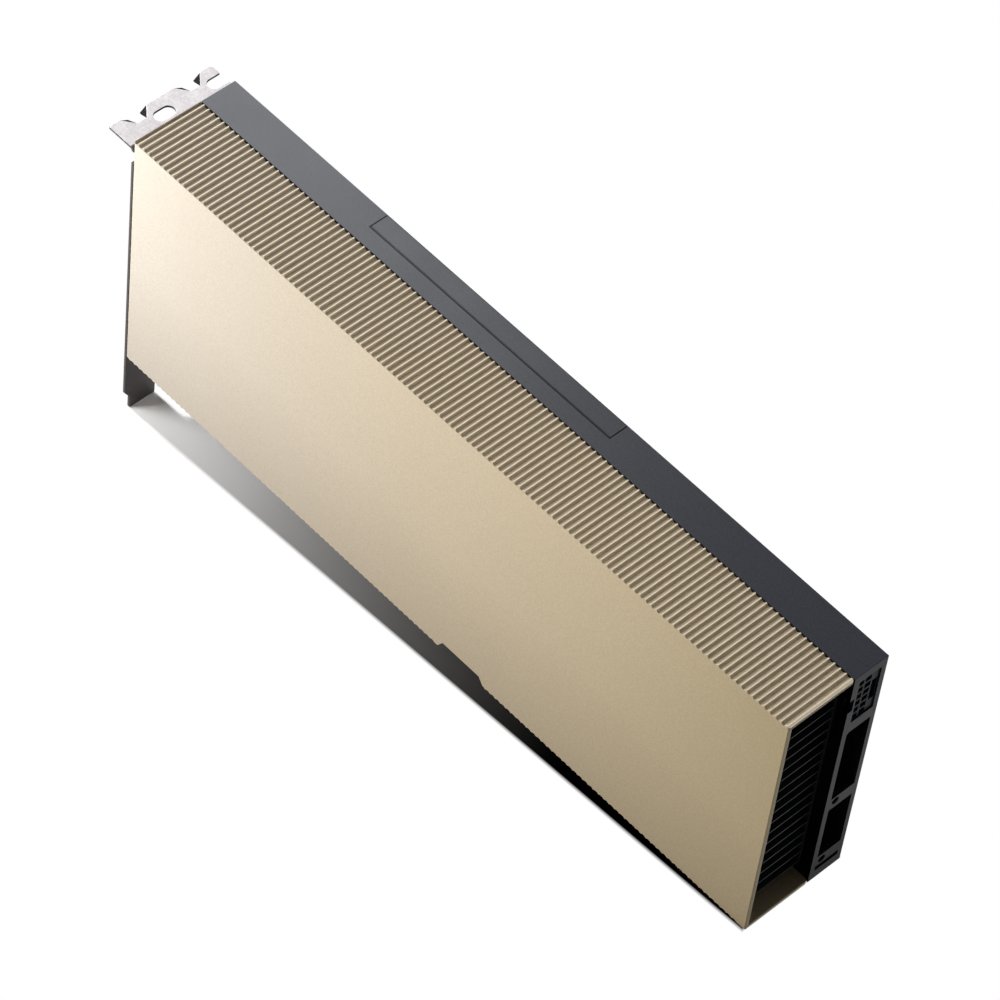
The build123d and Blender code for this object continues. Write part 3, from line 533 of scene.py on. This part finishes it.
# Painted light and shade: the coat is whiter and bluer towards the bracket, yellower towards the
# rear and darker towards its lower edge, and the ribs are lighter towards the rear
painted_light_drift = blended(tree, along, painted_light_at_bracket, painted_light_at_rear)
lower_half = ramp(tree, at_z, 60 * mm, cover_low.z)
painted_light_drift = blended(tree, lower_half, painted_light_drift, tinted(tree, painted_light_drift, painted_shade_at_lower_edge))
painted_light_drift = blended(tree, ribbed_wall, painted_light_drift, blended(tree, along, painted_rib_light_at_bracket, painted_rib_light_at_rear))
coated = made(tree, "ShaderNodeVectorMath", {0: coated, 1: painted_light_drift}, operation="MULTIPLY")
# A painted highlight along the rear rim
rim = ramp(tree, at_x, cover_high.x - 0.4 * mm, cover_high.x - 0.2 * mm)
coated = tinted(tree, coated, blended(tree, rim, untinted, painted_rim_highlight))
tree.links.new(coated, shader.inputs["Base Color"])

# The satin coat shines most near the bracket
satin_start = 50 * mm
satin_end = -70 * mm
satin_weight = 0.75
satin = ramp(tree, at_x, satin_start, satin_end, 0.0, satin_weight)
tree.links.new(satin, shader.inputs["Coat Weight"])
shader.inputs["Coat Roughness"].default_value = 0.4
shader.inputs["Specular IOR Level"].default_value = 0.15

front_cover = reworked("front_cover", "champagne_cover", champagne_finish, 0.09)
front_cover.modifiers.remove(front_cover.modifiers["Rounded edges"])

# The upper grooves start at the very end of the wall, and the lower ones are shallower, as the
# photographed lower edge shows
rib_shift = 0.1 * mm
lower_depth_share = 0.5
rear_border = 3 * mm
slack = 0.05 * mm
lower_face = cover_low.z
body = bmesh.new()
body.from_mesh(front_cover.data)
for vertex in body.verts:
    spot = vertex.co
    if lower_face < spot.z < lower_face + rib_depth + slack:
        spot.z = lower_face + (spot.z - lower_face) * lower_depth_share
    if spot.z > ribs_bottom - slack and spot.x < cover_high.x - rear_border:
        if spot.x > cover_low.x + slack:
            spot.x += rib_shift
        else:
            spot.z = ribs_top
body.to_mesh(front_cover.data)
body.free()

# One more upper groove at the rear, cut by a round bar that lies across the wall
last_groove = cover_high.x - 2.12 * mm
groove_width = 1.745 * mm
groove_radius = (groove_width ** 2 / 4 + rib_depth ** 2) / (2 * rib_depth)
bar_length = 30 * mm
bar_at = (last_groove, -24 * mm, ribs_bottom + groove_radius)
across_wall = Matrix.Rotation(quarter_turn, 3, "X")
body = bmesh.new()
bmesh.ops.create_cone(
    body, cap_ends=True, segments=48, radius1=groove_radius, radius2=groove_radius, depth=bar_length
)
bmesh.ops.rotate(body, verts=body.verts, matrix=across_wall)
bmesh.ops.translate(body, verts=body.verts, vec=bar_at)
bar_mesh = bpy.data.meshes.new("groove_bar")
body.to_mesh(bar_mesh)
body.free()
bar = put_in("groove_bar", bar_mesh)
cut = front_cover.modifiers.new("Groove", "BOOLEAN")
cut.object = bar
cut.solver = "EXACT"
cut_mesh = plain_mesh(front_cover)
front_cover.modifiers.remove(cut)
front_cover.data = cut_mesh
bpy.data.objects.remove(bar)
cut_mesh.materials.clear()
cut_mesh.materials.append(champagne_finish)
cut_mesh.shade_smooth()
cut_mesh.set_sharp_from_angle(angle=sharp_angle)
show(front_cover, "cover_paint", "front_cover")

# Link cover: a flush strip of the same coat as the frame, snapped into the top wall over the
# three link tongues. Only a hairline shows round it.

link_cover = reworked("link_cover", "link_strip", charcoal_finish, 0.08)
show(link_cover, "frame_paint", "link_cover")

# Back plate: a flat stamped plate in the frame's coat, let into the frame and held by eight
# countersunk screws, with four holes over the sprung screws.

backplate = reworked("backplate", "back_plate", charcoal_finish, 0.12)
show(backplate, "frame_paint", "backplate")

# Slot bracket: one folded sheet of plated steel with a mottled sheen, screwed to the frame's
# bracket end.

plating = (0.36, 0.342, 0.345)
shaded_steel = (0.085, 0.076, 0.076, 1)
painted_notch_shade = (0.012, 0.011, 0.011, 1)
plating_metal = 0.9
plating_sheen = 0.5
plating_finish, tree, shader, grained = finish_of(
    "Bright plating", plating, plating_metal, 0.62, speckle=(0.8, 0.5), cloud=(4.0, 0.25), bump=0.003
)
bracket_low, bracket_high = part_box("slot_bracket")
at_x, at_y, at_z = axes_of(tree)
# Painted shade: every face below the flange's upper face takes a darker, shaded copy of the steel's
# colour
face_up = ramp(tree, at_z, bracket_high.z - 0.05 * mm, bracket_high.z - 0.01 * mm)
steel_with_painted_shade = blended(tree, face_up, shaded_steel, grained)

# The bent corners of the two guide notches are painted near-black as shade, with no metal or sheen,
# and the flange's upper face isn't. The notches are counted from two whole pitches and a half,
# which centres each on its pitch
slot_pitch = 20.32 * mm
notch_middle = -4.8 * mm
counted_from = 2.5
near_end = ramp(tree, at_x, bracket_low.x + 4.4 * mm, bracket_low.x + 4.1 * mm)
notches = maths(tree, "DIVIDE", maths(tree, "SUBTRACT", at_y, notch_middle), slot_pitch)
notches = maths(tree, "FRACT", maths(tree, "ADD", notches, counted_from))
off_notch = maths(tree, "ABSOLUTE", maths(tree, "SUBTRACT", notches, 0.5))
near_notch = maths(tree, "MULTIPLY", near_end, ramp(tree, off_notch, 0.27, 0.25))
turned_down = maths(tree, "MULTIPLY", near_notch, ramp(tree, face_up, 0.6, 0.0))
notch_metal = ramp(tree, turned_down, 0.0, 1.0, plating_metal, 0.0)
notch_sheen = ramp(tree, turned_down, 0.0, 1.0, plating_sheen, 0.0)
steel_with_painted_shade = blended(tree, turned_down, steel_with_painted_shade, painted_notch_shade)
tree.links.new(steel_with_painted_shade, shader.inputs["Base Color"])
tree.links.new(notch_metal, shader.inputs["Metallic"])
tree.links.new(notch_sheen, shader.inputs["Specular IOR Level"])
bracket = reworked("slot_bracket", "slot_bracket_sheet", plating_finish, 0.12)
show(bracket, "bracket_steel", "slot_bracket")

# Screws and washers: machine screws with a six-lobed recess, forged and plated. Those in the
# back plate are countersunk, the others have flat cylinder heads.

zinc_finish, *_ = finish_of(
    "Zinc plating", (0.35, 0.35, 0.37), 1.0, 0.35, speckle=(0.1, 0.2), cloud=(3.0, 0.2), bump=0.004
)
black_zinc_finish, *_ = finish_of(
    "Black zinc", (0.05, 0.05, 0.055), 0.9, 0.4, speckle=(0.1, 0.3), cloud=(3.0, 0.3), bump=0.004
)
dress(zinc_finish, "spring_washers", "cover_screws")

# A screw on each point, its head's face on the point and its shank behind
screw, given, result = tree_of(
    "Screws on points",
    {
        "Head Radius": (number_socket, 2.5 * mm),
        "Head Height": (number_socket, 1.2 * mm),
        "Taper": (number_socket, 0.0),
        "Recess Radius": (number_socket, 1.3 * mm),
        "Recess Depth": (number_socket, 0.5 * mm),
        "Shank Radius": (number_socket, 1.4 * mm),
        "Shank Length": (number_socket, 5.0 * mm),
        "Turn": (vector_socket, (0, 0, 0)),
        "Material": ("NodeSocketMaterial", None),
    },
)
lobes = 6
waist_share = 0.72
lobe_share = 0.22
head_sides = 40
shank_sides = 24
wall_share = 0.95


def lowered(group, shape, drop):
    """A shape moved down its own axis."""
    down = maths(group, "MULTIPLY", drop, -1.0)
    shift = made(group, "ShaderNodeCombineXYZ", {"Z": down})
    return made(group, "GeometryNodeTransform", {"Geometry": shape, "Translation": shift})


def cone(group, sides, top, bottom, depth):
    """A closed cone or cylinder that stands on its foot."""
    sizes = {"Vertices": sides, "Radius Top": top, "Radius Bottom": bottom, "Depth": depth}
    return made(group, "GeometryNodeMeshCone", sizes, fill_type="NGON")


# The crown of the head is a disc as deep as the recess, pierced by a rounded star
ring_inputs = {"Resolution": head_sides, "Radius": given["Head Radius"]}
head_ring = made(screw, "GeometryNodeCurvePrimitiveCircle", ring_inputs, mode="RADIUS")
waist = maths(screw, "MULTIPLY", given["Recess Radius"], waist_share)
star_inputs = {"Points": lobes, "Inner Radius": waist, "Outer Radius": given["Recess Radius"]}
star = made(screw, "GeometryNodeCurveStar", star_inputs)
lobe_inputs = {"Curve": star, "Count": 3, "Radius": maths(screw, "MULTIPLY", waist, lobe_share)}
lobed = made(screw, "GeometryNodeFilletCurve", lobe_inputs, mode="POLY")
pierced = made(screw, "GeometryNodeFillCurve", {0: joined(screw, [head_ring, lobed])}, mode="TRIANGLES")
crown = raised(screw, pierced, given["Recess Depth"])
crown = lowered(screw, crown, given["Recess Depth"])

# The outer wall of the crown leans in by the taper
spot = made(screw, "GeometryNodeInputPosition", {})
spot_x, spot_y, spot_z = add(screw, "ShaderNodeSeparateXYZ", {0: spot}).outputs
flat_spot = made(screw, "ShaderNodeCombineXYZ", {"X": spot_x, "Y": spot_y})
out = add(screw, "ShaderNodeVectorMath", {0: flat_spot}, operation="LENGTH").outputs["Value"]
outer = maths(screw, "GREATER_THAN", out, maths(screw, "MULTIPLY", given["Head Radius"], wall_share))
lean = maths(screw, "MULTIPLY", spot_z, given["Taper"])
lean = maths(screw, "DIVIDE", lean, given["Head Radius"])
inward = made(screw, "ShaderNodeVectorMath", {0: flat_spot, "Scale": lean}, operation="SCALE")
leaning = {"Geometry": crown, "Selection": outer, "Offset": inward}
crown = made(screw, "GeometryNodeSetPosition", leaning)

# The rest of the head, and the shank
drawn_in = maths(screw, "MULTIPLY", given["Recess Depth"], given["Taper"])
foot_in = maths(screw, "MULTIPLY", given["Head Height"], given["Taper"])
neck_radius = maths(screw, "SUBTRACT", given["Head Radius"], drawn_in)
foot_radius = maths(screw, "SUBTRACT", given["Head Radius"], foot_in)
lower_height = maths(screw, "SUBTRACT", given["Head Height"], given["Recess Depth"])
lower_head = cone(screw, head_sides, neck_radius, foot_radius, lower_height)
lower_head = lowered(screw, lower_head, given["Head Height"])
bolt_radius = given["Shank Radius"]
shank = cone(screw, shank_sides, bolt_radius, bolt_radius, given["Shank Length"])
whole_length = maths(screw, "ADD", given["Head Height"], given["Shank Length"])
shank = lowered(screw, shank, whole_length)
one_screw = joined(screw, [crown, lower_head, shank])
end_tree(screw, given, result, one_screw, given["Material"])


def solids_of(node):
    """Low and high corners of each separate solid in a loaded group."""
    body = bmesh.new()
    body.from_mesh(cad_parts[node].data)
    bmesh.ops.remove_doubles(body, verts=body.verts, dist=weld)
    waiting = set(body.verts)
    corners = []
    while waiting:
        reached = [waiting.pop()]
        group = list(reached)
        while reached:
            vertex = reached.pop()
            for edge in vertex.link_edges:
                other = edge.other_vert(vertex)
                if other in waiting:
                    waiting.remove(other)
                    reached.append(other)
                    group.append(other)
        low = [min(v.co[axis] for v in group) for axis in range(3)]
        high = [max(v.co[axis] for v in group) for axis in range(3)]
        corners.append((low, high))
    body.free()
    return sorted(corners)


recess_share = 0.5
recess_depth = 0.45 * mm
shank_radius = 1.3 * mm
facing_back = (-quarter_turn, 0, 0)
facing_bracket = (0, -quarter_turn, 0)

# Each kind: its loaded group, which way the head faces, head height, taper and finish
kinds = [
    ("backplate_screws", facing_back, 0.7 * mm, 1.0, black_zinc_finish),
    ("spring_screws", facing_back, 1.3 * mm, 0.0, zinc_finish),
    ("bracket_screws", facing_bracket, 1.3 * mm, 0.0, zinc_finish),
]
for node, turn, head_height, taper, material in kinds:
    axis = 0 if turn == facing_bracket else 1
    places = []
    for low, high in solids_of(node):
        head_face = [(low[i] + high[i]) / 2 for i in range(3)]
        head_face[axis] = low[axis] if turn == facing_bracket else high[axis]
        places.append(head_face)
        head_radius = (high[1 - axis] - low[1 - axis]) / 2
        shank_length = high[axis] - low[axis] - head_height
    values = {
        "Head Radius": head_radius,
        "Head Height": head_height,
        "Taper": taper,
        "Recess Radius": head_radius * recess_share,
        "Recess Depth": recess_depth,
        "Shank Radius": shank_radius,
        "Shank Length": shank_length,
        "Turn": turn,
        "Material": material,
    }
    screws = grown(f"{node}_recessed", screw, places, values)
    show(screws, "screw_steel", node)

# Studio: a plain white floor, soft lamps, a dim world and the camera. The card stands on the
# lower end of its bracket and on its rear lower corner, so the floor slopes.

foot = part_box("slot_bracket")[0]
heel_x = cover_high.x
slope = (cover_low.z - foot.z) / (heel_x - foot.x)
floor_half = 3.0
corners = [(x * floor_half, y * floor_half) for x, y in ((-1, -1), (1, -1), (1, 1), (-1, 1))]
corners = [(x, y, foot.z + (x - foot.x) * slope) for x, y in corners]
floor_mesh = bpy.data.meshes.new("floor")
floor_mesh.from_pydata(corners, [], [(0, 1, 2, 3)])
floor = put_in("floor", floor_mesh)
floor_finish = bpy.data.materials.new("Floor")
floor_finish.use_nodes = True
floor_mesh.materials.append(floor_finish)
tree = floor_finish.node_tree
shader = tree.nodes["Principled BSDF"]
shader.inputs["Roughness"].default_value = 1.0
shader.inputs["Specular IOR Level"].default_value = 0.0
shader.inputs["Emission Color"].default_value = (1, 1, 1, 1)


def rays_that_see(tree):
    """1 for the rays that show the background: camera, glossy and transmission rays."""
    path = add(tree, "ShaderNodeLightPath", {}).outputs
    bright = maths(tree, "MAXIMUM", path["Is Glossy Ray"], path["Is Transmission Ray"])
    return maths(tree, "MAXIMUM", path["Is Camera Ray"], bright)


# The floor is white to the rays that see it, apart from a painted shadow under the card, drawn in
# the floor's colour
no_light = (0, 0, 0, 1)
bounce = (0.06, 0.06, 0.06, 1)
lit_floor = (1, 0.98, 1, 1)
shadow_edge = 1.2 * mm
seen = rays_that_see(tree)
card_low, card_high = cad_bounds
at_x, at_y = axes_of(tree)[:2]

# The shadow's four sides. Its front side runs out with the cover's front edge, and its back side
# starts at the bracket's tab and runs out to the back plate
shadow_start = card_low.x + 11 * mm
shadow_end = card_high.x - 1 * mm
front_side = ramp(tree, at_x, -70 * mm, 185 * mm, -31.8 * mm, -34.8 * mm)
back_side = ramp(tree, at_x, -58 * mm, -18 * mm, -22.6 * mm, card_high.y - 2 * mm)
to_bracket = maths(tree, "SUBTRACT", shadow_start, at_x)
to_rear = maths(tree, "SUBTRACT", at_x, shadow_end)
to_front = maths(tree, "SUBTRACT", front_side, at_y)
to_back = maths(tree, "SUBTRACT", at_y, back_side)
beyond_ends = maths(tree, "MAXIMUM", to_bracket, to_rear)
beyond_sides = maths(tree, "MAXIMUM", to_front, to_back)
clear = ramp(tree, maths(tree, "MAXIMUM", beyond_ends, beyond_sides), 0.0, shadow_edge)
shining = maths(tree, "MULTIPLY", clear, seen)

# The painted shadow's light falls as the card comes down to the floor
darkest_at = 122 * mm
lightest_at = -70 * mm
light_fall = 1.7
most_light = 0.66
headroom = ramp(tree, at_x, darkest_at, lightest_at)
lit_share = maths(tree, "MULTIPLY", maths(tree, "POWER", headroom, light_fall), most_light)
floor_with_painted_shadow = blended(tree, seen, bounce, blended(tree, lit_share, no_light, lit_floor))
tree.links.new(blended(tree, shining, floor_with_painted_shadow, no_light), shader.inputs["Base Color"])
tree.links.new(shining, shader.inputs["Emission Strength"])

# The floor is clear from below
from_below = add(tree, "ShaderNodeNewGeometry", {}).outputs["Backfacing"]
tree.links.new(maths(tree, "SUBTRACT", 1.0, from_below), shader.inputs["Alpha"])

# Each lamp: its name, place, aim and size in millimetres, power and tone
lamps = [
    ("Front", (-330, -300, 120), (-40, -20, 60), 220, 1.72, (1.0, 0.9, 0.76)),
    ("Near", (-200, -150, 135), (-66, -34, 95), 120, 0.55, (0.85, 0.95, 1.0)),
    ("Upper", (75, -154, 168), (75, -34, 85), 200, 0.17, (1.0, 0.95, 0.88)),
    ("Sheen", (-380, 300, 600), (-66, 0, 110), 300, 1.3, (0.96, 0.97, 1.0)),
    ("Raking", (-3260, 100, 790), (60, 0, 110), 400, 350.0, (1.0, 1.0, 1.0)),
    ("Behind", (80, 520, 60), (60, 0, 60), 380, 2.5, (1.0, 1.0, 1.0)),
]
for name, place, aim, size, power, tone in lamps:
    light = bpy.data.lights.new(name, "AREA")
    light.size = size * mm
    light.energy = power
    light.color = tone
    holder = put_in(name, light)
    holder.location = Vector(place) * mm
    holder.rotation_euler = (Vector(aim) - Vector(place)).to_track_quat("-Z", "Y").to_euler()

ambient = 0.035
world = bpy.data.worlds.new("Studio")
bpy.context.scene.world = world
world.use_nodes = True
tree = world.node_tree
backdrop = tree.nodes["Background"]
backdrop.inputs["Color"].default_value = (1, 1, 1, 1)
strength = ramp(tree, rays_that_see(tree), 0.0, 1.0, ambient, 1.0)
tree.links.new(strength, backdrop.inputs["Strength"])

camera_place = (640.788, -671.094, 1161.103)
camera_turns = (38.2551, -4.7716, 47.1688)
camera_data = bpy.data.cameras.new("Camera")
camera_data.sensor_width = 36
camera_data.lens = 177.75
camera_data.clip_end = 20
camera = put_in("Camera", camera_data)
camera.location = Vector(camera_place) * mm
camera.rotation_euler = [math.radians(turn) for turn in camera_turns]
bpy.context.scene.camera = camera
bpy.context.scene.view_settings.view_transform = "Standard"
